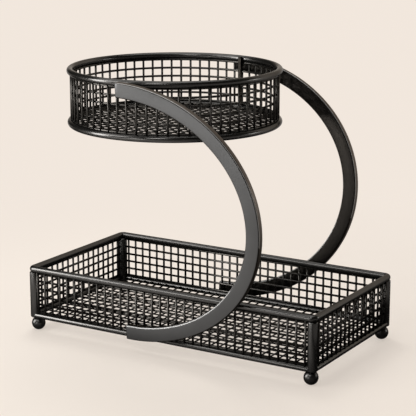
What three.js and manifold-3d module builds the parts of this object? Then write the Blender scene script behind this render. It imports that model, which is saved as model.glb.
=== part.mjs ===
import * as THREE from 'three';
import { mergeVertices } from 'three/addons/utils/BufferGeometryUtils.js';
import Module from 'manifold-3d';

const wasm = await Module();
wasm.setup();

// All lengths are millimetres. X runs along the long side, the front faces -Y, Z is up, floor at Z = 0.
// Gap left between pieces that touch or are welded together
const GAP = 0.3;

// Lower rectangular basket
const BASKET_LENGTH = 366;
const BASKET_DEPTH = 184;
const RIM_ROD = 7.6;
const RIM_BEND = 4.4;
const RIM_HEIGHT = 73.1;
const RAIL_ROD = 6.6;
const RAIL_HEIGHT = 17.9;
const POST_ROD = 11;
const POST_INSET = 0.5;
const POST_BELOW_RAIL = 2.5;
const BALL_DIAMETER = 16;
const BALL_CENTRE = 7.65;
const BALL_INSET = 2.4;

// Wire mesh
const WIRE = 2.5;
const FLOOR_WIRE = 1.9;
const LAYER_GAP = 0.12;
const EDGE_STAND = 0.12;
const LONG_CELLS = 33;
const DEEP_CELLS = 16;
const SIDE_ROWS = 5;

// Upper round basket
const RING_X = -44;
const RING_RADIUS = 117.6;
const RING_ROD = 7.4;
const TOP_RING_HEIGHT = 304.4;
const BOTTOM_RING_HEIGHT = 246;
const WALL_OUTER_RADIUS = 118;
const WALL_WIRES = 64;
const WALL_ROWS = 5;
const HOOP_SEGMENTS = 48;
const ROUND_FLOOR_CELLS = 22;
const SEAM_ANGLE = 79.5;
const SEAM_WIDTH = 4.4;
const SEAM_THICKNESS = 1.4;

// Curved flat-bar arms
const ARM_WIDTH = 16.6;
const ARM_THICKNESS = 8;
const ARM_EDGE = 1.1;
const ARM_CENTRE_X = -40.5;
const ARM_REACH = 163.5;
const ARM_TOP_ABOVE_RING = 2.2;
const ARM_ABOVE_RAIL = 6.2;
const ARM_TOP_END_X = -36.6;
const ARM_BOTTOM_END_X = -43.4;
const ARM_STEPS = 32;

// Rod facets
const ROD_SIDES = 10;
const RING_SEGMENTS = 64;
const POST_SIDES = 14;
const BALL_SIDES = 16;

const COATING = { color: 0x1b1a19, roughness: 0.55, metalness: 0.35 };
const FOOT = { color: 0x121212, roughness: 0.3, metalness: 0.1 };

// Positions that follow from the sizes above
const postX = BASKET_LENGTH / 2 + RIM_ROD / 2 - POST_ROD / 2 - POST_INSET;
const postY = BASKET_DEPTH / 2 + RIM_ROD / 2 - POST_ROD / 2 - POST_INSET;
const railX = postX + POST_ROD / 2 - RAIL_ROD / 2;
const railY = postY + POST_ROD / 2 - RAIL_ROD / 2;
const ballX = postX - BALL_INSET;
const ballY = postY - BALL_INSET;
const postBottom = RAIL_HEIGHT - POST_BELOW_RAIL;
const postTop = RIM_HEIGHT - RIM_ROD / 2 - GAP;
const layerDepth = 2 * WIRE + LAYER_GAP;
const floorDepth = 2 * FLOOR_WIRE + LAYER_GAP;
const sideBottom = RAIL_HEIGHT + RAIL_ROD / 2 + GAP;
const sideHeight = RIM_HEIGHT - RIM_ROD / 2 - GAP - sideBottom;
const wallBottom = BOTTOM_RING_HEIGHT + RING_ROD / 2 + GAP;
const wallHeight = TOP_RING_HEIGHT - RING_ROD / 2 - GAP - wallBottom;
const wallInnerRadius = WALL_OUTER_RADIUS - layerDepth;

function toSolid(geometry) {
  const bare = geometry.clone();
  bare.deleteAttribute('normal');
  bare.deleteAttribute('uv');
  const merged = mergeVertices(bare, 1e-4);
  const solid = new wasm.Manifold(new wasm.Mesh({
    numProp: 3,
    vertProperties: new Float32Array(merged.attributes.position.array),
    triVerts: new Uint32Array(merged.index.array),
  }));
  if (solid.volume() <= 0) {
    throw new Error('a solid is inside out or empty');
  }
  return solid;
}

function toGeometry(solid) {
  const mesh = solid.getMesh();
  const geometry = new THREE.BufferGeometry();
  geometry.setAttribute('position', new THREE.BufferAttribute(new Float32Array(mesh.vertProperties), 3));
  geometry.setIndex(new THREE.BufferAttribute(new Uint32Array(mesh.triVerts), 1));
  geometry.computeVertexNormals();
  return geometry;
}

function joinAll(solids) {
  let whole = solids[0];
  for (let i = 1; i < solids.length; i += 1) {
    whole = whole.add(solids[i]);
  }
  return whole;
}

function block(sizeX, sizeY, sizeZ, x, y, z) {
  const geometry = new THREE.BoxGeometry(sizeX, sizeY, sizeZ);
  geometry.translate(x, y, z);
  return toSolid(geometry);
}

// Solid of revolution about Z from [radius, height] pairs that start and end on the axis
function turned(profile, segments) {
  const points = profile.map(([radius, height]) => new THREE.Vector2(radius, height));
  const geometry = new THREE.LatheGeometry(points, segments);
  geometry.rotateX(Math.PI / 2);
  return geometry;
}

// A path that is sampled exactly at its own points
class PointPath extends THREE.Curve {
  constructor(points, tangents) {
    super();
    this.points = points;
    this.tangents = tangents;
  }

  indexAt(t) {
    return Math.round(t * (this.points.length - 1));
  }

  getPoint(t) {
    return this.points[this.indexAt(t)].clone();
  }

  getPointAt(u) {
    return this.getPoint(u);
  }

  getTangentAt(u) {
    return this.tangents[this.indexAt(u)].clone();
  }
}

function roundSection(diameter, sides) {
  const points = [];
  for (let i = 0; i < sides; i += 1) {
    const angle = ((i + 0.5) / sides) * Math.PI * 2;
    points.push(new THREE.Vector2(Math.cos(angle) * diameter / 2, Math.sin(angle) * diameter / 2));
  }
  return new THREE.Shape(points);
}

// One half of the rim, from the middle of the left end to the middle of the right end
function rimHalf(sign) {
  const halfLength = BASKET_LENGTH / 2;
  const halfDepth = BASKET_DEPTH / 2;
  const points = [new THREE.Vector3(-halfLength, 0, RIM_HEIGHT)];
  const tangents = [new THREE.Vector3(0, sign, 0)];
  const bendSteps = 4;
  for (const side of [-1, 1]) {
    const centreX = side * (halfLength - RIM_BEND);
    const centreY = sign * (halfDepth - RIM_BEND);
    for (let i = 0; i <= bendSteps; i += 1) {
      const part = (side < 0 ? i : bendSteps - i) / bendSteps;
      const angle = part * Math.PI / 2;
      const x = centreX + side * RIM_BEND * Math.cos(angle);
      const y = centreY + sign * RIM_BEND * Math.sin(angle);
      points.push(new THREE.Vector3(x, y, RIM_HEIGHT));
      tangents.push(new THREE.Vector3(Math.sin(angle), -side * sign * Math.cos(angle), 0));
    }
  }
  points.push(new THREE.Vector3(halfLength, 0, RIM_HEIGHT));
  tangents.push(new THREE.Vector3(0, -sign, 0));
  const path = new PointPath(points, tangents);
  return toSolid(new THREE.ExtrudeGeometry(roundSection(RIM_ROD, ROD_SIDES), {
    steps: points.length - 1,
    extrudePath: path,
  }));
}

function lowerRim() {
  return rimHalf(-1).add(rimHalf(1));
}

// Corner post with a rounded lower end and a broken upper edge
function cornerPost(x, y) {
  const radius = POST_ROD / 2;
  const geometry = turned([
    [0, postBottom],
    [radius - 2, postBottom],
    [radius - 0.6, postBottom + 0.7],
    [radius, postBottom + 2.2],
    [radius, postTop - 0.9],
    [radius - 0.9, postTop],
    [0, postTop],
  ], POST_SIDES);
  geometry.translate(x, y, 0);
  return geometry;
}

function postCutter(x, y) {
  const geometry = new THREE.CylinderGeometry(POST_ROD / 2 + GAP, POST_ROD / 2 + GAP, 40, 28);
  geometry.rotateX(Math.PI / 2);
  geometry.translate(x, y, RAIL_HEIGHT);
  return toSolid(geometry);
}

// Straight rod with domed ends that is shaped to the two posts it is welded to
function bottomRail(alongX, side) {
  const radius = RAIL_ROD / 2;
  const half = (alongX ? postX : postY) - 1;
  const geometry = turned([
    [0, -half],
    [radius * 0.5, -half + radius * 0.13],
    [radius * 0.87, -half + radius * 0.5],
    [radius, -half + radius],
    [radius, half - radius],
    [radius * 0.87, half - radius * 0.5],
    [radius * 0.5, half - radius * 0.13],
    [0, half],
  ], 12);
  if (alongX) {
    geometry.rotateY(Math.PI / 2);
    geometry.translate(0, side * railY, RAIL_HEIGHT);
  } else {
    geometry.rotateX(Math.PI / 2);
    geometry.translate(side * railX, 0, RAIL_HEIGHT);
  }
  let solid = toSolid(geometry);
  for (const end of [-1, 1]) {
    const x = alongX ? end * postX : side * postX;
    const y = alongX ? side * postY : end * postY;
    solid = solid.subtract(postCutter(x, y));
  }
  return solid;
}

// Ball foot with a small flat to stand on and a flat under the post
function ballFoot(x, y) {
  const radius = BALL_DIAMETER / 2;
  const top = postBottom - GAP;
  const lowAngle = Math.asin(-BALL_CENTRE / radius);
  const highAngle = Math.asin((top - BALL_CENTRE) / radius);
  const rings = 7;
  const profile = [[0, 0]];
  for (let i = 0; i <= rings; i += 1) {
    const angle = lowAngle + (highAngle - lowAngle) * i / rings;
    profile.push([radius * Math.cos(angle), BALL_CENTRE + radius * Math.sin(angle)]);
  }
  profile[1][1] = 0;
  profile[rings + 1][1] = top;
  profile.push([0, top]);
  const geometry = turned(profile, BALL_SIDES);
  geometry.translate(x, y, 0);
  return geometry;
}

// Flat welded grid in the XY plane, centred on the origin. Wires along Y lie above the wires along X,
// and an edge wire a little deeper than both layers runs all round and joins them.
function flatGrid(sizeX, sizeY, cellsX, cellsY, wire) {
  const depth = 2 * wire + LAYER_GAP;
  const layer = wire - EDGE_STAND;
  const middle = (layer + LAYER_GAP) / 2;
  const lineX = (sizeX - wire) / 2;
  const lineY = (sizeY - wire) / 2;
  const solids = [];
  for (const side of [-1, 1]) {
    solids.push(block(wire, sizeY, depth, side * lineX, 0, 0));
    solids.push(block(sizeX, wire, depth, 0, side * lineY, 0));
  }
  for (let i = 1; i < cellsX; i += 1) {
    solids.push(block(wire, sizeY - wire, layer, -lineX + 2 * lineX * i / cellsX, 0, middle));
  }
  for (let i = 1; i < cellsY; i += 1) {
    solids.push(block(sizeX - wire, wire, layer, 0, -lineY + 2 * lineY * i / cellsY, -middle));
  }
  return joinAll(solids);
}

// Upright panel of the lower basket, upright wires on the outside
function sidePanel(alongX, side) {
  const clear = POST_ROD / 2 + GAP;
  const size = 2 * ((alongX ? postX : postY) - clear);
  const cells = alongX ? LONG_CELLS : DEEP_CELLS;
  const geometry = toGeometry(flatGrid(size, sideHeight, cells, SIDE_ROWS, WIRE));
  geometry.rotateX(Math.PI / 2);
  const turn = alongX ? (side < 0 ? 0 : Math.PI) : side * Math.PI / 2;
  geometry.rotateZ(turn);
  const x = alongX ? 0 : side * BASKET_LENGTH / 2;
  const y = alongX ? side * BASKET_DEPTH / 2 : 0;
  geometry.translate(x, y, sideBottom + sideHeight / 2);
  return geometry;
}

// Floor of the lower basket, notched round the posts, with its layers welded again beside each notch
function lowerFloor() {
  const sizeX = 2 * (railX - RAIL_ROD / 2 - GAP);
  const sizeY = 2 * (railY - RAIL_ROD / 2 - GAP);
  let solid = flatGrid(sizeX, sizeY, LONG_CELLS + 1, DEEP_CELLS + 1, FLOOR_WIRE);
  const stepX = (sizeX - FLOOR_WIRE) / (LONG_CELLS + 1);
  const stepY = (sizeY - FLOOR_WIRE) / (DEEP_CELLS + 1);
  const weld = FLOOR_WIRE - 0.4;
  const notch = POST_ROD + 2 * GAP;
  for (const x of [-1, 1]) {
    for (const y of [-1, 1]) {
      const weldX = x * ((sizeX - FLOOR_WIRE) / 2 - stepX);
      const weldY = y * ((sizeY - FLOOR_WIRE) / 2 - stepY);
      solid = solid.add(block(weld, weld, floorDepth - 0.4, weldX, weldY, 0));
      solid = solid.subtract(block(notch, notch, 10, x * postX, y * postY, 0));
    }
  }
  const geometry = toGeometry(solid);
  geometry.translate(0, 0, RAIL_HEIGHT);
  return geometry;
}

function basketRing(height) {
  const geometry = new THREE.TorusGeometry(RING_RADIUS, RING_ROD / 2, ROD_SIDES, RING_SEGMENTS);
  geometry.translate(RING_X, 0, height);
  return geometry;
}

// Flat hoop with a rectangular section, centred on the Z axis
function hoop(innerRadius, outerRadius, bottom, top) {
  const outline = new THREE.Shape();
  outline.absarc(0, 0, outerRadius, 0, Math.PI * 2, false);
  const hole = new THREE.Path();
  hole.absarc(0, 0, innerRadius, 0, Math.PI * 2, true);
  outline.holes.push(hole);
  const geometry = new THREE.ExtrudeGeometry(outline, {
    depth: top - bottom,
    bevelEnabled: false,
    curveSegments: HOOP_SEGMENTS / 2,
  });
  geometry.translate(0, 0, bottom);
  return toSolid(geometry);
}

// Rolled wall of the round basket: upright wires outside, hoops inside, joined by the end hoops and
// by one wire as deep as both layers where the two ends of the rolled strip meet
function roundWall() {
  const seam = THREE.MathUtils.degToRad(SEAM_ANGLE);
  const hoopOuter = wallInnerRadius + WIRE;
  const uprightRadius = WALL_OUTER_RADIUS - WIRE / 2 - 0.15;
  const step = (wallHeight - WIRE) / WALL_ROWS;
  const solids = [];
  for (let i = 0; i <= WALL_ROWS; i += 1) {
    const bottom = wallBottom + step * i;
    const edge = i === 0 || i === WALL_ROWS;
    solids.push(hoop(wallInnerRadius, edge ? WALL_OUTER_RADIUS : hoopOuter, bottom, bottom + WIRE));
  }
  for (let i = 0; i < WALL_WIRES; i += 1) {
    const atSeam = i === 0;
    const depth = atSeam ? layerDepth - 0.8 : WIRE - 0.3;
    const radius = atSeam ? (wallInnerRadius + WALL_OUTER_RADIUS) / 2 : uprightRadius;
    const geometry = new THREE.BoxGeometry(depth, WIRE, wallHeight - WIRE);
    geometry.translate(radius, 0, wallBottom + wallHeight / 2);
    geometry.rotateZ(seam + (i / WALL_WIRES) * Math.PI * 2);
    solids.push(toSolid(geometry));
  }
  const geometry = toGeometry(joinAll(solids));
  geometry.translate(RING_X, 0, 0);
  return geometry;
}

// Round floor: a grid of wires in two layers inside one flat hoop
function roundFloor() {
  const outer = RING_RADIUS - RING_ROD / 2 - GAP;
  const inner = outer - FLOOR_WIRE;
  const layer = FLOOR_WIRE - EDGE_STAND;
  const middle = (layer + LAYER_GAP) / 2;
  const solids = [hoop(inner, outer, -floorDepth / 2, floorDepth / 2)];
  const step = 2 * (outer - FLOOR_WIRE / 2) / ROUND_FLOOR_CELLS;
  for (let i = 1; i < ROUND_FLOOR_CELLS; i += 1) {
    const offset = (i - ROUND_FLOOR_CELLS / 2) * step;
    const reach = 2 * Math.sqrt((outer - 0.9) ** 2 - (Math.abs(offset) + FLOOR_WIRE / 2) ** 2);
    solids.push(block(reach, FLOOR_WIRE, layer, 0, offset, -middle));
    solids.push(block(FLOOR_WIRE, reach, layer, offset, 0, middle));
  }
  const geometry = toGeometry(joinAll(solids));
  geometry.translate(RING_X, 0, BOTTOM_RING_HEIGHT);
  return geometry;
}

// Flat strip that covers the seam of the rolled wall on the inside
function seamStrip() {
  const radius = wallInnerRadius - GAP - SEAM_THICKNESS / 2 - 0.3;
  const geometry = new THREE.BoxGeometry(SEAM_THICKNESS, SEAM_WIDTH, wallHeight);
  geometry.translate(radius, 0, wallBottom + wallHeight / 2);
  geometry.rotateZ(THREE.MathUtils.degToRad(SEAM_ANGLE));
  geometry.translate(RING_X, 0, 0);
  return geometry;
}

// C-shaped flat bar. It leans outwards from the bottom rail to the wider round basket.
function arm(side) {
  const lowY = railY + RAIL_ROD / 2 + GAP;
  const highY = RING_RADIUS + RING_ROD / 2 + GAP;
  const highZ = TOP_RING_HEIGHT - 1;
  const lean = Math.atan2(highY - lowY, highZ - RAIL_HEIGHT);
  const stretch = 1 / Math.cos(lean);
  const top = (TOP_RING_HEIGHT + ARM_TOP_ABOVE_RING - RAIL_HEIGHT) * stretch - ARM_WIDTH / 2;
  const bottom = ARM_ABOVE_RAIL * stretch;
  const centre = (top + bottom) / 2;
  const rise = (top - bottom) / 2;
  const startAngle = -Math.acos((ARM_BOTTOM_END_X - ARM_CENTRE_X) / ARM_REACH);
  const endAngle = Math.acos((ARM_TOP_END_X - ARM_CENTRE_X) / ARM_REACH);
  const outer = [];
  const inner = [];
  for (let i = 0; i <= ARM_STEPS; i += 1) {
    const angle = startAngle + (endAngle - startAngle) * i / ARM_STEPS;
    const along = new THREE.Vector2(
      ARM_CENTRE_X + ARM_REACH * Math.cos(angle),
      centre + rise * Math.sin(angle),
    );
    const across = new THREE.Vector2(Math.cos(angle) / ARM_REACH, Math.sin(angle) / rise).normalize();
    const half = ARM_WIDTH / 2 - ARM_EDGE;
    outer.push(along.clone().addScaledVector(across, half));
    inner.push(along.clone().addScaledVector(across, -half));
  }
  const geometry = new THREE.ExtrudeGeometry(new THREE.Shape([...outer, ...inner.reverse()]), {
    depth: ARM_THICKNESS - 2 * ARM_EDGE,
    bevelEnabled: true,
    bevelSize: ARM_EDGE,
    bevelThickness: ARM_EDGE,
    bevelSegments: 1,
    steps: 1,
  });
  geometry.translate(0, 0, ARM_EDGE);
  geometry.rotateX(Math.PI / 2 + lean);
  geometry.translate(0, -lowY, RAIL_HEIGHT);
  if (side > 0) {
    const mirrored = toSolid(geometry).mirror([0, 1, 0]);
    return toGeometry(mirrored);
  }
  return toGeometry(toSolid(geometry));
}

const rack = new THREE.Group();
rack.name = 'two_tier_wire_rack';

function place(name, shape, look) {
  const geometry = shape.isBufferGeometry ? shape : toGeometry(shape);
  const mesh = new THREE.Mesh(geometry, new THREE.MeshStandardMaterial(look));
  mesh.name = name;
  rack.add(mesh);
}

place('lower_rim', lowerRim(), COATING);
for (const [depthName, y] of [['front', -1], ['back', 1]]) {
  for (const [sideName, x] of [['left', -1], ['right', 1]]) {
    place(`corner_post_${depthName}_${sideName}`, cornerPost(x * postX, y * postY), COATING);
    place(`ball_foot_${depthName}_${sideName}`, ballFoot(x * ballX, y * ballY), FOOT);
  }
  place(`bottom_rail_${depthName}`, bottomRail(true, y), COATING);
  place(`side_mesh_${depthName}`, sidePanel(true, y), COATING);
  place(`arm_${depthName}`, arm(y), COATING);
}
for (const [sideName, x] of [['left', -1], ['right', 1]]) {
  place(`bottom_rail_${sideName}`, bottomRail(false, x), COATING);
  place(`side_mesh_${sideName}`, sidePanel(false, x), COATING);
}
place('lower_floor_mesh', lowerFloor(), COATING);
place('upper_top_ring', basketRing(TOP_RING_HEIGHT), COATING);
place('upper_bottom_ring', basketRing(BOTTOM_RING_HEIGHT), COATING);
place('upper_wall_mesh', roundWall(), COATING);
place('upper_floor_mesh', roundFloor(), COATING);
place('upper_seam_strip', seamStrip(), COATING);

export default rack;
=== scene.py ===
import math

import bmesh
import bpy
from mathutils import Matrix, Vector


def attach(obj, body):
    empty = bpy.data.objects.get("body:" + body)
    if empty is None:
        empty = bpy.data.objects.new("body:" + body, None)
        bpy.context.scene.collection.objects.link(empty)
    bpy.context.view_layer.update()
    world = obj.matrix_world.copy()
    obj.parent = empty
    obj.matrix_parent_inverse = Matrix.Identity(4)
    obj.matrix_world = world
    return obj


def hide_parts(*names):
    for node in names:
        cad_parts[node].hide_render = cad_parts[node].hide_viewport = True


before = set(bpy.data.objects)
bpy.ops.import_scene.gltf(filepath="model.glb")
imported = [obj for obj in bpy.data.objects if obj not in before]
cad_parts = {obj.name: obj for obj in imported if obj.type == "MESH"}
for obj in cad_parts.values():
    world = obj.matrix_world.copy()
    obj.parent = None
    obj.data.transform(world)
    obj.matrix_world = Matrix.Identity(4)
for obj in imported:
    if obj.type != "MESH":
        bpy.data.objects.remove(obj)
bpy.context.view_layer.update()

# Sizes in millimetres, as in the part's solids
MM = 0.001
BASKET_LENGTH = 366.0
BASKET_DEPTH = 184.0
RIM_ROD = 7.6
RIM_BEND = 4.4
RIM_HEIGHT = 73.1
RAIL_ROD = 6.6
RAIL_HEIGHT = 17.9
RAIL_X = 183.0
RAIL_Y = 92.0
RAIL_END_ROUND = 2.4
RAIL_SHORT_OF_POST_AXIS = 1.0
POST_ROD = 11.0
POST_X = 180.8
POST_Y = 89.8
POST_BOTTOM = 15.4
POST_END_ROUND = 1.3
POST_INTO_BALL = 0.2
POST_INTO_RIM = 0.5
BALL_X = 178.4
BALL_Y = 87.4
BALL_RADIUS = 8.0
BALL_CENTRE = 7.65

# Mesh: half the distance between its two wire layers, and how far wires reach into the rods
WIRE = 2.6
LAYER = 1.2
FLOOR_WIRE = 1.8
FLOOR_LAYER = 0.85
LONG_CELLS = 33
DEEP_CELLS = 16
SIDE_ROWS = 5
MESH_INSET = 1.3
ROW_INSET = 0.9
WIRE_INTO_ROD = 1.0
LEVEL_WIRE_INTO_POST = 1.2

RING_X = -44.0
RING_RADIUS = 117.6
RING_ROD = 7.4
TOP_RING_HEIGHT = 304.2
BOTTOM_RING_HEIGHT = 246.0
WALL_WIRES = 64
WALL_ROWS = 5
WALL_RADIUS = 115.5
WALL_END_HOOP_OUT = 0.6
FLOOR_CELLS = 22
FLOOR_HOOP_WIRE = WIRE * 1.3
FLOOR_HOOP_INSET = 1.0
FLOOR_WIRE_INSET = 0.6
SEAM_ANGLE = 79.5
SEAM_RADIUS = 112.4
SEAM_THICKNESS = 2.6
SEAM_WIDTH = 4.4
SEAM_ROUND = 0.4
SEAM_INTO_BOTTOM_RING = 0.6
SEAM_ABOVE_TOP_RING_AXIS = 2.9

ARM_WIDTH = 16.6
ARM_THICKNESS = 8.0
ARM_EDGE_ROUND = 1.84
ARM_END_ROUND = 0.7
ARM_OFF_RAIL = 0.2
ARM_CENTRE_X = -40.5
ARM_REACH = 163.5
ARM_TOP = 306.6
ARM_TOUCHES_RING_HEIGHT = 303.4
ARM_ABOVE_RAIL = 6.2
ARM_TOP_END_X = -36.6
ARM_BOTTOM_END_X = -43.4

# Fineness of the round forms
ROD_SIDES = 32
WIRE_SIDES = 10
FLOOR_HOOP_SIDES = 12
RING_STEPS = 192
HOOP_STEPS = 128
RIM_BEND_STEPS = 8
BALL_SEGMENTS = 40
BALL_RINGS = 24
ARM_STEPS = 120

COAT = "black_coating"
GLOSS = "gloss_black"
FRONT_AND_BACK = (("front", -1), ("back", 1))
LEFT_AND_RIGHT = (("left", -1), ("right", 1))


def piece(name, bm, finish, slot, *nodes):
    """Turns a mesh drawn in millimetres into a piece that stands for the given solids."""
    bmesh.ops.scale(bm, vec=(MM, MM, MM), verts=bm.verts)
    bmesh.ops.recalc_face_normals(bm, faces=bm.faces)
    mesh = bpy.data.meshes.new(name)
    bm.to_mesh(mesh)
    bm.free()
    mesh.materials.append(finish)
    made = bpy.data.objects.new(name, mesh)
    bpy.context.scene.collection.objects.link(made)
    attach(made, "root")
    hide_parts(*nodes)
    return made


def edges_of(verts):
    inside = set(verts)
    found = {e for v in verts for e in v.link_edges}
    return [e for e in found if e.verts[0] in inside and e.verts[1] in inside]


def end_edges(bm):
    """Edges of the flat ends, which are the only faces with more than four corners."""
    return [e for e in bm.edges if any(len(f.verts) > 4 for f in e.link_faces)]


def round_off(bm, geom, offset, segments, affect="EDGES"):
    bmesh.ops.bevel(bm, geom=geom, offset=offset, segments=segments, profile=0.5,
                    affect=affect, material=-1)


def smooth_sides(faces):
    """Smooth shading on the round sides and flat shading on the ends."""
    for face in faces:
        face.smooth = len(face.verts) == 4


def smooth_all(faces):
    for face in faces:
        face.smooth = True


def wire(bm, start, end, diameter, sides):
    """Straight round wire or rod between two points."""
    a, b = Vector(start), Vector(end)
    turn = (b - a).to_track_quat("Z", "Y").to_matrix().to_4x4()
    made = bmesh.ops.create_cone(
        bm, cap_ends=True, segments=sides, radius1=diameter / 2, radius2=diameter / 2,
        depth=(b - a).length, matrix=Matrix.Translation((a + b) / 2) @ turn)
    smooth_sides({f for v in made["verts"] for f in v.link_faces})


def hoop(bm, radius, height, diameter, sides, steps):
    """Round wire or rod bent into a full ring about the axis of the round basket."""
    centre = Vector((RING_X, 0, height))
    at_start = Matrix.Translation(centre + Vector((radius, 0, 0)))
    section = bmesh.ops.create_circle(
        bm, segments=sides, radius=diameter / 2,
        matrix=at_start @ Matrix.Rotation(math.pi / 2, 4, "X"))["verts"]
    before = set(bm.faces)
    bmesh.ops.spin(bm, geom=section + edges_of(section), cent=centre, axis=(0, 0, 1),
                   angle=2 * math.pi, steps=steps, use_merge=True)
    smooth_all(set(bm.faces) - before)


def sweep(bm, edges, places):
    """Carries a section from place to place and returns its last edge loop."""
    for before, after in zip(places, places[1:]):
        made = bmesh.ops.extrude_edge_only(bm, edges=edges)["geom"]
        verts = [g for g in made if isinstance(g, bmesh.types.BMVert)]
        bmesh.ops.transform(bm, matrix=after @ before.inverted(), verts=verts,
                            space=Matrix.Identity(4))
        edges = edges_of(verts)
    return edges


def placed(point, across, up, along):
    """Placement whose local X, Y and Z are the three given directions."""
    turn = Matrix((across, up, along)).transposed().to_4x4()
    return Matrix.Translation(point) @ turn


# Finishes

# Most values of a noise texture lie between these two
NOISE_LOW, NOISE_HIGH = 0.3, 0.7
COAT_METALLIC = 0.94
COAT_EDGE_TINT = (0.45, 0.44, 0.43, 1)
DUST_COLOUR = (0.12, 0.112, 0.10, 1)
RUBBED_COLOUR = (0.11, 0.107, 0.103, 1)
RUBBED_HEIGHT_M = 0.0035


class Nodes:
    """A node tree with short ways to add and join its nodes."""

    def __init__(self, tree, coordinates):
        self.tree = tree
        self.place = self.add("ShaderNodeTexCoord").outputs[coordinates]

    def add(self, kind, inputs=None, **settings):
        node = self.tree.nodes.new(kind)
        for key, value in settings.items():
            setattr(node, key, value)
        for key, value in (inputs or {}).items():
            self.set(node.inputs[key], value)
        return node

    def set(self, socket, value):
        if isinstance(value, bpy.types.NodeSocket):
            self.tree.links.new(value, socket)
        else:
            socket.default_value = value

    def noise(self, scale, detail, rough):
        made = self.add("ShaderNodeTexNoise", {"Vector": self.place, "Scale": scale,
                                               "Detail": detail, "Roughness": rough})
        return made.outputs["Fac"]

    def span(self, value, low, high, to_low, to_high, shape="LINEAR"):
        made = self.add("ShaderNodeMapRange",
                        {"Value": value, "From Min": low, "From Max": high,
                         "To Min": to_low, "To Max": to_high}, interpolation_type=shape)
        return made.outputs["Result"]

    def spread(self, noise, to_low, to_high):
        return self.span(noise, NOISE_LOW, NOISE_HIGH, to_low, to_high)

    def mix(self, share, a, b):
        made = self.add("ShaderNodeMix", data_type="RGBA")
        self.set(made.inputs["Factor"], share)
        self.set(made.inputs["A"], a)
        self.set(made.inputs["B"], b)
        return made.outputs["Result"]

    def math(self, operation, a, b):
        made = self.add("ShaderNodeMath", operation=operation)
        self.set(made.inputs[0], a)
        self.set(made.inputs[1], b)
        return made.outputs[0]

    def axes(self, vector):
        return self.add("ShaderNodeSeparateXYZ", {"Vector": vector}).outputs

    def seen_directly(self, rays):
        return self.math("MAXIMUM", rays["Is Camera Ray"], rays["Is Transmission Ray"])


class Finish(Nodes):
    """A material with a Principled shader."""

    def __init__(self, name):
        self.material = bpy.data.materials.new(name)
        self.material.use_nodes = True
        super().__init__(self.material.node_tree, "Object")
        self.shader = self.tree.nodes["Principled BSDF"]

    def put(self, **values):
        for key, value in values.items():
            self.set(self.shader.inputs[key.replace("_", " ")], value)


def powder_coat(name, dark, pale, fleck, smooth, rough, peel, metal=COAT_METALLIC):
    """Satin powder coat: orange-peel skin, uneven sheen, and a little dust where it faces up."""
    n = Finish(name)
    cloud = n.noise(scale=22.0, detail=3.0, rough=0.6)
    skin = n.noise(scale=1300.0, detail=2.0, rough=0.55)
    speck = n.noise(scale=3200.0, detail=1.0, rough=0.5)
    colour = n.mix(n.spread(cloud, 0.0, 1.0), dark, pale)
    colour = n.mix(n.span(speck, 0.60, 0.78, 0.0, 0.25), colour, fleck)
    up = n.axes(n.add("ShaderNodeNewGeometry").outputs["Normal"])["Z"]
    patches = n.span(n.noise(scale=140.0, detail=4.0, rough=0.7), 0.42, 0.7, 0.0, 1.0)
    dust = n.math("MULTIPLY", n.span(up, 0.35, 1.0, 0.0, 0.03), patches)
    sheen = n.math("ADD", n.spread(cloud, smooth, rough), n.spread(skin, -0.012, 0.012))
    low = n.add("ShaderNodeBump", {"Height": skin, "Strength": peel, "Distance": 0.0004})
    fine = n.add("ShaderNodeBump", {"Height": speck, "Strength": peel * 0.6, "Distance": 0.00012,
                                    "Normal": low.outputs["Normal"]})
    n.put(Base_Color=n.mix(dust, colour, DUST_COLOUR),
          Roughness=n.math("ADD", sheen, n.math("MULTIPLY", dust, 0.6)),
          Normal=fine.outputs["Normal"], Metallic=metal, Specular_Tint=COAT_EDGE_TINT)
    return n.material


def gloss_coat(name, dark, pale, smooth, rough):
    """Glossier black coat with a faint ripple and fine rubbing marks near the floor."""
    n = Finish(name)
    colour = n.mix(n.spread(n.noise(scale=60.0, detail=2.0, rough=0.5), 0.0, 1.0), dark, pale)
    marks = n.span(n.noise(scale=900.0, detail=3.0, rough=0.7), 0.4, 0.65, 0.0, 1.0)
    near_floor = n.span(n.axes(n.place)["Z"], 0.0, RUBBED_HEIGHT_M, 1.0, 0.0)
    rub = n.math("MULTIPLY", near_floor, marks)
    sheen = n.spread(n.noise(scale=180.0, detail=3.0, rough=0.6), smooth, rough)
    ripple = n.add("ShaderNodeBump", {"Height": n.noise(scale=420.0, detail=2.0, rough=0.5),
                                      "Strength": 0.03, "Distance": 0.0003})
    n.put(Base_Color=n.mix(rub, colour, RUBBED_COLOUR),
          Roughness=n.math("ADD", sheen, n.math("MULTIPLY", rub, 0.3)),
          Normal=ripple.outputs["Normal"], Metallic=COAT_METALLIC, Specular_Tint=COAT_EDGE_TINT)
    return n.material


rod_coat = powder_coat(
    "rod_powder_coat", dark=(0.068, 0.066, 0.0635, 1), pale=(0.078, 0.0757, 0.0728, 1),
    fleck=(0.090, 0.0875, 0.0845, 1), smooth=0.20, rough=0.24, peel=0.004)
wire_coat = powder_coat(
    "wire_powder_coat", dark=(0.054, 0.0508, 0.0466, 1), pale=(0.063, 0.0593, 0.0546, 1),
    fleck=(0.080, 0.0755, 0.070, 1), smooth=0.24, rough=0.29, peel=0.008)
# Lighter copy of the black coat on the arms' outer broad faces: painted light.
lit_bar_coat = powder_coat(
    "bar_lit_powder_coat", dark=(0.086, 0.0862, 0.0862, 1), pale=(0.096, 0.0962, 0.0962, 1),
    fleck=(0.111, 0.1112, 0.1112, 1), smooth=0.36, rough=0.40, peel=0.04)
# Much darker copy of the coat on the arms' narrow sides and roundings and on the seam bar: painted
# shade.
painted_shade_edge_coat = powder_coat(
    "bar_painted_shade_edge_coat", dark=(0.020, 0.0173, 0.0147, 1), pale=(0.025, 0.0218, 0.0187, 1),
    fleck=(0.032, 0.029, 0.026, 1), smooth=0.34, rough=0.40, peel=0.03)
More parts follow.
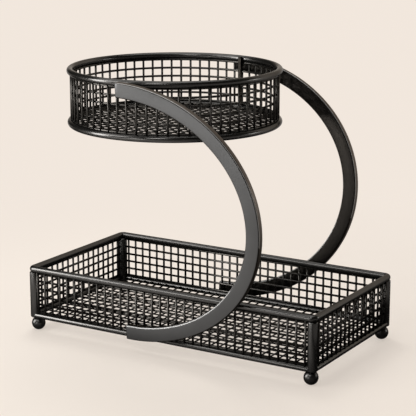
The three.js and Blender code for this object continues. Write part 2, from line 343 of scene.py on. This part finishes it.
# Near-black copy of the coat on the arms' inner broad faces: painted shade.
painted_shade_inner_coat = powder_coat(
    "bar_painted_shade_inner_coat", dark=(0.0065, 0.0057, 0.0049, 1), pale=(0.0082, 0.0072, 0.0062, 1),
    fleck=(0.0090, 0.0080, 0.0070, 1), smooth=0.33, rough=0.35, peel=0.003)
# Warm brown copy of the coat on the narrow side of the arms' outer bend: a painted warm
# reflection.
painted_reflection_side_coat = powder_coat(
    "bar_painted_reflection_side_coat", dark=(0.112, 0.098, 0.086, 1), pale=(0.126, 0.111, 0.098, 1),
    fleck=(0.140, 0.126, 0.112, 1), smooth=0.36, rough=0.42, peel=0.03)
# Light grey copy of the coat on rounded arm edges that face up: painted highlight.
painted_highlight_coat = powder_coat(
    "bar_painted_highlight_edge", dark=(0.30, 0.298, 0.294, 1), pale=(0.36, 0.357, 0.352, 1),
    fleck=(0.42, 0.415, 0.408, 1), smooth=0.40, rough=0.48, peel=0.06, metal=0.35)
ball_coat = gloss_coat(
    "ball_gloss_coat", dark=(0.060, 0.0585, 0.0565, 1), pale=(0.070, 0.068, 0.066, 1),
    smooth=0.26, rough=0.32)


# Lower basket


def lower_rim():
    bm = bmesh.new()
    middle_x = BASKET_LENGTH / 2 - RIM_BEND
    middle_y = BASKET_DEPTH / 2 - RIM_BEND
    quarter = math.pi / 2
    places = []
    for corner, (side_x, side_y) in enumerate(((1, 1), (-1, 1), (-1, -1), (1, -1))):
        centre = Vector((side_x * middle_x, side_y * middle_y, RIM_HEIGHT))
        for step in range(RIM_BEND_STEPS + 1):
            angle = quarter * corner + quarter * step / RIM_BEND_STEPS
            out = Vector((math.cos(angle), math.sin(angle), 0))
            along = Vector((-math.sin(angle), math.cos(angle), 0))
            places.append(placed(centre + out * RIM_BEND, out, Vector((0, 0, 1)), along))
    section = bmesh.ops.create_circle(bm, segments=ROD_SIDES, radius=RIM_ROD / 2,
                                      matrix=places[0])["verts"]
    first_edges = edges_of(section)
    last_edges = sweep(bm, first_edges, places)
    bmesh.ops.bridge_loops(bm, edges=first_edges + last_edges)
    smooth_all(bm.faces)
    piece("lower_rim_rod", bm, rod_coat, COAT, "lower_rim")


def corner_post(depth_name, side_name, x, y):
    bm = bmesh.new()
    top = RIM_HEIGHT - RIM_ROD / 2 + POST_INTO_RIM
    wire(bm, (x, y, POST_BOTTOM - POST_INTO_BALL), (x, y, top), POST_ROD, ROD_SIDES)
    round_off(bm, end_edges(bm), POST_END_ROUND, 3)
    smooth_sides(bm.faces)
    piece(f"post_rod_{depth_name}_{side_name}", bm, rod_coat, COAT,
          f"corner_post_{depth_name}_{side_name}")


def bottom_rail(name, start, end):
    bm = bmesh.new()
    wire(bm, start, end, RAIL_ROD, ROD_SIDES)
    round_off(bm, end_edges(bm), RAIL_END_ROUND, 4)
    smooth_sides(bm.faces)
    piece(f"bottom_rod_{name}", bm, rod_coat, COAT, f"bottom_rail_{name}")


def ball_foot(depth_name, side_name, x, y):
    """Ball with a small flat where it stands on the floor."""
    bm = bmesh.new()
    bmesh.ops.create_uvsphere(bm, u_segments=BALL_SEGMENTS, v_segments=BALL_RINGS,
                              radius=BALL_RADIUS, matrix=Matrix.Translation((x, y, BALL_CENTRE)))
    smooth_all(bm.faces)
    cut = bmesh.ops.bisect_plane(
        bm, geom=bm.verts[:] + bm.edges[:] + bm.faces[:], plane_co=(0, 0, 0),
        plane_no=(0, 0, -1), clear_outer=True)["geom_cut"]
    bmesh.ops.holes_fill(bm, edges=[g for g in cut if isinstance(g, bmesh.types.BMEdge)], sides=0)
    piece(f"ball_{depth_name}_{side_name}", bm, ball_coat, GLOSS,
          f"ball_foot_{depth_name}_{side_name}")


def side_mesh(name, along_x, side):
    """Upright wires outside, level wires inside, pressed into each other where they are welded."""
    bm = bmesh.new()
    half = (POST_X if along_x else POST_Y) - POST_ROD / 2
    plane = side * (BASKET_DEPTH if along_x else BASKET_LENGTH) / 2
    cells = LONG_CELLS if along_x else DEEP_CELLS
    bottom = RAIL_HEIGHT + RAIL_ROD / 2
    top = RIM_HEIGHT - RIM_ROD / 2
    outer = plane + side * LAYER
    inner = plane - side * LAYER

    def point(along, across, height):
        return (along, across, height) if along_x else (across, along, height)

    for i in range(cells + 1):
        at = -half + MESH_INSET + 2 * (half - MESH_INSET) * i / cells
        wire(bm, point(at, outer, bottom - WIRE_INTO_ROD), point(at, outer, top + WIRE_INTO_ROD),
             WIRE, WIRE_SIDES)
    reach = half + LEVEL_WIRE_INTO_POST
    for i in range(SIDE_ROWS + 1):
        height = bottom + ROW_INSET + (top - bottom - 2 * ROW_INSET) * i / SIDE_ROWS
        across = plane if i in (0, SIDE_ROWS) else inner
        wire(bm, point(-reach, across, height), point(reach, across, height), WIRE, WIRE_SIDES)
    piece(f"side_wires_{name}", bm, wire_coat, COAT, f"side_mesh_{name}")


def lower_floor():
    bm = bmesh.new()
    half_x = RAIL_X - RAIL_ROD / 2
    half_y = RAIL_Y - RAIL_ROD / 2
    reach_x, reach_y = half_x + WIRE_INTO_ROD, half_y + WIRE_INTO_ROD
    high, low = RAIL_HEIGHT + FLOOR_LAYER, RAIL_HEIGHT - FLOOR_LAYER
    cells_x, cells_y = LONG_CELLS + 1, DEEP_CELLS + 1
    for i in range(cells_x + 1):
        x = -half_x + MESH_INSET + 2 * (half_x - MESH_INSET) * i / cells_x
        wire(bm, (x, -reach_y, high), (x, reach_y, high), FLOOR_WIRE, WIRE_SIDES)
    for i in range(cells_y + 1):
        y = -half_y + MESH_INSET + 2 * (half_y - MESH_INSET) * i / cells_y
        wire(bm, (-reach_x, y, low), (reach_x, y, low), FLOOR_WIRE, WIRE_SIDES)
    piece("lower_floor_wires", bm, wire_coat, COAT, "lower_floor_mesh")


# Upper basket


def ring_rod(name, height, node):
    bm = bmesh.new()
    hoop(bm, RING_RADIUS, height, RING_ROD, ROD_SIDES, RING_STEPS)
    piece(name, bm, rod_coat, COAT, node)


def round_wall():
    bm = bmesh.new()
    bottom = BOTTOM_RING_HEIGHT + RING_ROD / 2
    top = TOP_RING_HEIGHT - RING_ROD / 2
    for i in range(WALL_ROWS + 1):
        height = bottom + ROW_INSET + (top - bottom - 2 * ROW_INSET) * i / WALL_ROWS
        out = WALL_END_HOOP_OUT if i in (0, WALL_ROWS) else -LAYER
        hoop(bm, WALL_RADIUS + out, height, WIRE, WIRE_SIDES, HOOP_STEPS)
    for i in range(WALL_WIRES):
        angle = math.radians(SEAM_ANGLE) + 2 * math.pi * i / WALL_WIRES
        x = RING_X + (WALL_RADIUS + LAYER) * math.cos(angle)
        y = (WALL_RADIUS + LAYER) * math.sin(angle)
        wire(bm, (x, y, bottom - WIRE_INTO_ROD), (x, y, top + WIRE_INTO_ROD), WIRE, WIRE_SIDES)
    piece("upper_wall_wires", bm, wire_coat, COAT, "upper_wall_mesh")


def round_floor():
    bm = bmesh.new()
    outer = RING_RADIUS - RING_ROD / 2
    low, high = BOTTOM_RING_HEIGHT - FLOOR_LAYER, BOTTOM_RING_HEIGHT + FLOOR_LAYER
    hoop(bm, outer - FLOOR_HOOP_INSET, BOTTOM_RING_HEIGHT, FLOOR_HOOP_WIRE, FLOOR_HOOP_SIDES,
         HOOP_STEPS)
    for i in range(1, FLOOR_CELLS):
        offset = (i - FLOOR_CELLS / 2) * 2 * (outer - FLOOR_HOOP_INSET) / FLOOR_CELLS
        reach = math.sqrt((outer - FLOOR_WIRE_INSET) ** 2 - offset ** 2)
        wire(bm, (RING_X - reach, offset, low), (RING_X + reach, offset, low),
             FLOOR_WIRE, WIRE_SIDES)
        wire(bm, (RING_X + offset, -reach, high), (RING_X + offset, reach, high),
             FLOOR_WIRE, WIRE_SIDES)
    piece("upper_floor_wires", bm, wire_coat, COAT, "upper_floor_mesh")


def seam_strip():
    """Upright bar over the seam of the rolled wall. It ends inside the top ring, near its top."""
    bm = bmesh.new()
    bottom = BOTTOM_RING_HEIGHT + RING_ROD / 2 - SEAM_INTO_BOTTOM_RING
    top = TOP_RING_HEIGHT + SEAM_ABOVE_TOP_RING_AXIS
    axis = Matrix.Translation((RING_X, 0, (bottom + top) / 2))
    turn = Matrix.Rotation(math.radians(SEAM_ANGLE), 4, "Z")
    size = Matrix.Diagonal((SEAM_THICKNESS, SEAM_WIDTH, top - bottom, 1.0))
    bmesh.ops.create_cube(
        bm, size=1.0, matrix=axis @ turn @ Matrix.Translation((SEAM_RADIUS, 0, 0)) @ size)
    round_off(bm, bm.edges[:], SEAM_ROUND, 2)
    # The seam bar takes the dark copy of the coat: painted shade.
    piece("upper_seam_bar", bm, painted_shade_edge_coat, COAT, "upper_seam_strip")


# Arms

# Arm face coats, in order: painted light on the outer face, painted shade on narrow sides, painted
# warm reflection on the outer bend's side, painted highlight on up-facing roundings, painted shade
# on the inner face.
BAR, EDGE, SIDE, PAINTED_HIGHLIGHT, INNER = range(5)
# Share of a face's normal that points to the front or back. Below the first value the face is on
# a narrow side of the bar, below the others on the rounding, and above them on a broad side.
NARROW_SIDE = 0.3
OUTER_HALF_OF_ROUNDING = 0.70
WHOLE_ROUNDING = 0.93
# Roundings that face up more than these get the painted highlight.
PAINTED_HIGHLIGHT_WHERE_UP = 0.25
PAINTED_HIGHLIGHT_WHERE_UP_ON_OUTER_BEND = -0.15


def arm_finish(normal_z, turned_out, outer_bend):
    """Coat of an arm face by its direction: painted highlight on up-facing roundings, painted
    shade inside and on the narrow sides, painted warm reflection on the outer bend's side.
    """
    turn = abs(turned_out)
    if turn < NARROW_SIDE:
        return SIDE if outer_bend else EDGE
    if turn < OUTER_HALF_OF_ROUNDING:
        painted_highlight_from = PAINTED_HIGHLIGHT_WHERE_UP_ON_OUTER_BEND if outer_bend else PAINTED_HIGHLIGHT_WHERE_UP
        return PAINTED_HIGHLIGHT if normal_z > painted_highlight_from else EDGE
    if turn < WHOLE_ROUNDING:
        return PAINTED_HIGHLIGHT if normal_z > PAINTED_HIGHLIGHT_WHERE_UP and not outer_bend else EDGE
    return INNER if turned_out < 0 else BAR


def arm(name, side):
    """C-shaped flat bar with rounded edges, leaning outwards to the wider round basket."""
    bm = bmesh.new()
    low_y = RAIL_Y + RAIL_ROD / 2
    high_y = RING_RADIUS + RING_ROD / 2
    lean = math.atan2(high_y - low_y, ARM_TOUCHES_RING_HEIGHT - RAIL_HEIGHT)
    rise_way = Vector((0, -math.sin(lean), math.cos(lean)))
    out_way = Vector((0, -math.cos(lean), -math.sin(lean)))
    top = (ARM_TOP - RAIL_HEIGHT) / math.cos(lean) - ARM_WIDTH / 2
    bottom = ARM_ABOVE_RAIL / math.cos(lean)
    centre, rise = (top + bottom) / 2, (top - bottom) / 2
    start_angle = -math.acos((ARM_BOTTOM_END_X - ARM_CENTRE_X) / ARM_REACH)
    end_angle = math.acos((ARM_TOP_END_X - ARM_CENTRE_X) / ARM_REACH)
    base = Vector((0, -low_y, RAIL_HEIGHT)) + out_way * (ARM_THICKNESS / 2 + ARM_OFF_RAIL)
    places = []
    for i in range(ARM_STEPS + 1):
        angle = start_angle + (end_angle - start_angle) * i / ARM_STEPS
        point = base + Vector((ARM_CENTRE_X + ARM_REACH * math.cos(angle), 0, 0))
        point += rise_way * (centre + rise * math.sin(angle))
        flat = Vector((math.cos(angle) / ARM_REACH, math.sin(angle) / rise)).normalized()
        across = Vector((flat.x, 0, 0)) + rise_way * flat.y
        places.append(placed(point, across, out_way, across.cross(out_way)))
    corners = [bm.verts.new((x * ARM_WIDTH / 2, y * ARM_THICKNESS / 2, 0))
               for x, y in ((-1, -1), (1, -1), (1, 1), (-1, 1))]
    bm.faces.new(corners)
    round_off(bm, corners, ARM_EDGE_ROUND, 4, affect="VERTICES")
    bmesh.ops.transform(bm, matrix=places[0], verts=bm.verts, space=Matrix.Identity(4))
    last = sweep(bm, bm.edges[:], places)
    bmesh.ops.contextual_create(bm, geom=last)
    round_off(bm, end_edges(bm), ARM_END_ROUND, 2)
    smooth_sides(bm.faces)
    if side > 0:
        bmesh.ops.scale(bm, vec=(1, -1, 1), verts=bm.verts)
    made = piece(f"curved_bar_{name}", bm, lit_bar_coat, COAT, f"arm_{name}")
    # Each face gets painted light or shade by its direction, as arm_finish picks it.
    for finish in (painted_shade_edge_coat, painted_reflection_side_coat, painted_highlight_coat, painted_shade_inner_coat):
        made.data.materials.append(finish)
    middle_z = MM * (RAIL_HEIGHT + centre * math.cos(lean))
    for polygon in made.data.polygons:
        bend_axis = Vector((MM * ARM_CENTRE_X, polygon.center.y, middle_z))
        outer_bend = polygon.normal.dot(polygon.center - bend_axis) > 0
        polygon.material_index = arm_finish(polygon.normal.z, polygon.normal.y * side, outer_bend)
    return made


lower_rim()
arms = {}
for depth_name, y_side in FRONT_AND_BACK:
    for side_name, x_side in LEFT_AND_RIGHT:
        corner_post(depth_name, side_name, x_side * POST_X, y_side * POST_Y)
        ball_foot(depth_name, side_name, x_side * BALL_X, y_side * BALL_Y)
    rail_reach = POST_X - RAIL_SHORT_OF_POST_AXIS
    bottom_rail(depth_name, (-rail_reach, y_side * RAIL_Y, RAIL_HEIGHT),
                (rail_reach, y_side * RAIL_Y, RAIL_HEIGHT))
    side_mesh(depth_name, True, y_side)
    arms[depth_name] = arm(depth_name, y_side)
for side_name, x_side in LEFT_AND_RIGHT:
    rail_reach = POST_Y - RAIL_SHORT_OF_POST_AXIS
    bottom_rail(side_name, (x_side * RAIL_X, -rail_reach, RAIL_HEIGHT),
                (x_side * RAIL_X, rail_reach, RAIL_HEIGHT))
    side_mesh(side_name, False, x_side)
lower_floor()
ring_rod("upper_ring_top", TOP_RING_HEIGHT, "upper_top_ring")
ring_rod("upper_ring_bottom", BOTTOM_RING_HEIGHT, "upper_bottom_ring")
round_wall()
round_floor()
seam_strip()


# Floor, light and camera, in metres

PALE = (0.885, 0.80, 0.722, 1)
MIRRORED_PALE = (0.86, 0.82, 0.785, 1)
FLOOR_DARK = (0.80, 0.735, 0.665, 1)
FLOOR_LIGHT = (0.84, 0.775, 0.70, 1)
FLOOR_RADIUS = 14.0
ROOM_DIM = (0.046, 0.041, 0.035, 1)
WALL_BEHIND = (1.0, 0.91, 0.81, 1)
LAMP_COLOUR = (1.0, 0.995, 0.985)
RACK_MIDDLE = (0.0, 0.0, 0.12)
EYE = Vector((0.8321, -1.3704, 0.5332))
AIM = Vector((-0.00047, 0.0, 0.14912))
LENS_MM = 126.0
SENSOR_MM = 36.0


def floor_finish():
    """Pale floor that runs into the backdrop; seen in the coat it glows, lighter on some sides:
    painted reflections.
    """
    n = Finish("pale_floor_finish")
    cloud = n.noise(scale=1.3, detail=2.0, rough=0.5)
    n.put(Base_Color=n.mix(n.span(cloud, 0.35, 0.65, 0.0, 1.0), FLOOR_DARK, FLOOR_LIGHT),
          Roughness=0.5, Specular_IOR_Level=0.05)
    away = n.add("ShaderNodeVectorMath", {0: n.place}, operation="LENGTH").outputs["Value"]
    far = n.span(away, 0.20, 0.75, 0.62, 1.0, "SMOOTHSTEP")
    at = n.axes(n.place)
    # Painted reflections: seen in the coat, the floor glows lighter front left, right and behind,
    # and dimmer elsewhere.
    front_left = n.math("MULTIPLY", n.span(at["X"], 0.08, 0.30, 1.0, 0.04),
                        n.span(at["Y"], -0.17, -0.09, 1.0, 0.08))
    right = n.span(at["X"], 0.32, 0.42, 0.0, 0.5)
    behind = n.span(at["Y"], 0.15, 0.55, 0.04, 0.9)
    painted_reflection_mask = n.math("MAXIMUM", n.math("MAXIMUM", front_left, right), behind)
    rays = n.add("ShaderNodeLightPath").outputs
    mirrored = rays["Is Glossy Ray"]
    share = n.math("MAXIMUM", n.math("MULTIPLY", n.seen_directly(rays), far), mirrored)
    dim = n.math("MULTIPLY", mirrored, n.math("SUBTRACT", 1.0, painted_reflection_mask))
    glow = n.add("ShaderNodeEmission", {"Color": n.mix(mirrored, PALE, MIRRORED_PALE),
                                        "Strength": n.math("SUBTRACT", 1.0, dim)})
    both = n.add("ShaderNodeMixShader", {0: share, 1: n.shader.outputs["BSDF"],
                                         2: glow.outputs["Emission"]})
    n.set(n.tree.nodes["Material Output"].inputs["Surface"], both.outputs["Shader"])
    return n.material


def pale_floor():
    bm = bmesh.new()
    bmesh.ops.create_circle(bm, cap_ends=True, segments=96, radius=FLOOR_RADIUS)
    mesh = bpy.data.meshes.new("pale_floor")
    bm.to_mesh(mesh)
    bm.free()
    mesh.materials.append(floor_finish())
    made = bpy.data.objects.new("pale_floor", mesh)
    bpy.context.scene.collection.objects.link(made)
    return made


def softbox(name, place, aim, size, power):
    data = bpy.data.lights.new(name, "AREA")
    data.shape = "RECTANGLE"
    data.size, data.size_y = size
    data.energy = power
    data.color = LAMP_COLOUR
    lamp = bpy.data.objects.new(name, data)
    lamp.location = place
    lamp.rotation_euler = (Vector(aim) - Vector(place)).to_track_quat("-Z", "Y").to_euler()
    lamp.visible_camera = False
    bpy.context.scene.collection.objects.link(lamp)
    return lamp


def light_link(lamp, name, made, state):
    """Lets a lamp reach only one object (INCLUDE), or all but that one (EXCLUDE)."""
    group = bpy.data.collections.new(name)
    group.objects.link(made)
    group.collection_objects[0].light_linking.link_state = state
    lamp.light_linking.receiver_collection = group


def studio_room():
    """A pale wall behind and a dim room elsewhere; the camera sees a pale backdrop all round."""
    world = bpy.data.worlds.new("studio")
    bpy.context.scene.world = world
    world.use_nodes = True
    n = Nodes(world.node_tree, "Generated")
    behind = n.span(n.axes(n.place)["Y"], 0.5, 0.85, 0.0, 1.0, "SMOOTHSTEP")
    direct = n.seen_directly(n.add("ShaderNodeLightPath").outputs)
    room = n.mix(direct, n.mix(behind, ROOM_DIM, WALL_BEHIND), PALE)
    n.set(n.tree.nodes["Background"].inputs["Color"], room)


floor = pale_floor()
window_lamp = softbox("window_softbox", (-1.30, -0.98, 0.45), RACK_MIDDLE, (0.55, 0.90), 20.0)
softbox("high_softbox", (-1.0, -1.2, 1.15), RACK_MIDDLE, (1.1, 0.8), 12.0)
softbox("low_softbox", (-0.48, -0.78, 0.004), (-0.48, -0.78, 1.0), (0.5, 0.5), 1.6)
softbox("front_softbox", (-0.2, -1.35, 0.12), (0.0, 0.0, 0.06), (0.4, 0.4), 2.6)
softbox("front_top_softbox", (0.2, -1.2, 1.1), RACK_MIDDLE, (0.4, 0.4), 3.7)
softbox("top_softbox", (-0.22, 0.05, 1.15), RACK_MIDDLE, (1.0, 1.1), 6.5)
softbox("back_softbox", (1.3, 0.8, 0.4), RACK_MIDDLE, (0.35, 0.35), 2.0)
shadow_lamp = softbox("shadow_softbox", (-0.45, 0.45, 1.4), (0.0, 0.0, 0.0), (0.5, 0.5), 9.0)
arm_lamp = softbox("arm_softbox", (-0.33, -0.74, 0.23), (0.09, 0.118, 0.245), (0.14, 0.14), 2.3)
light_link(shadow_lamp, "floor_only", floor, "INCLUDE")
light_link(arm_lamp, "back_arm_only", arms["back"], "INCLUDE")
light_link(window_lamp, "all_but_floor", floor, "EXCLUDE")
studio_room()

lens = bpy.data.cameras.new("camera")
lens.sensor_width = SENSOR_MM
lens.lens = LENS_MM
lens.clip_start, lens.clip_end = 0.01, 60.0
camera = bpy.data.objects.new("camera", lens)
camera.location = EYE
camera.rotation_euler = (AIM - EYE).to_track_quat("-Z", "Y").to_euler()
bpy.context.scene.collection.objects.link(camera)
bpy.context.scene.camera = camera
bpy.context.scene.view_settings.view_transform = "Standard"
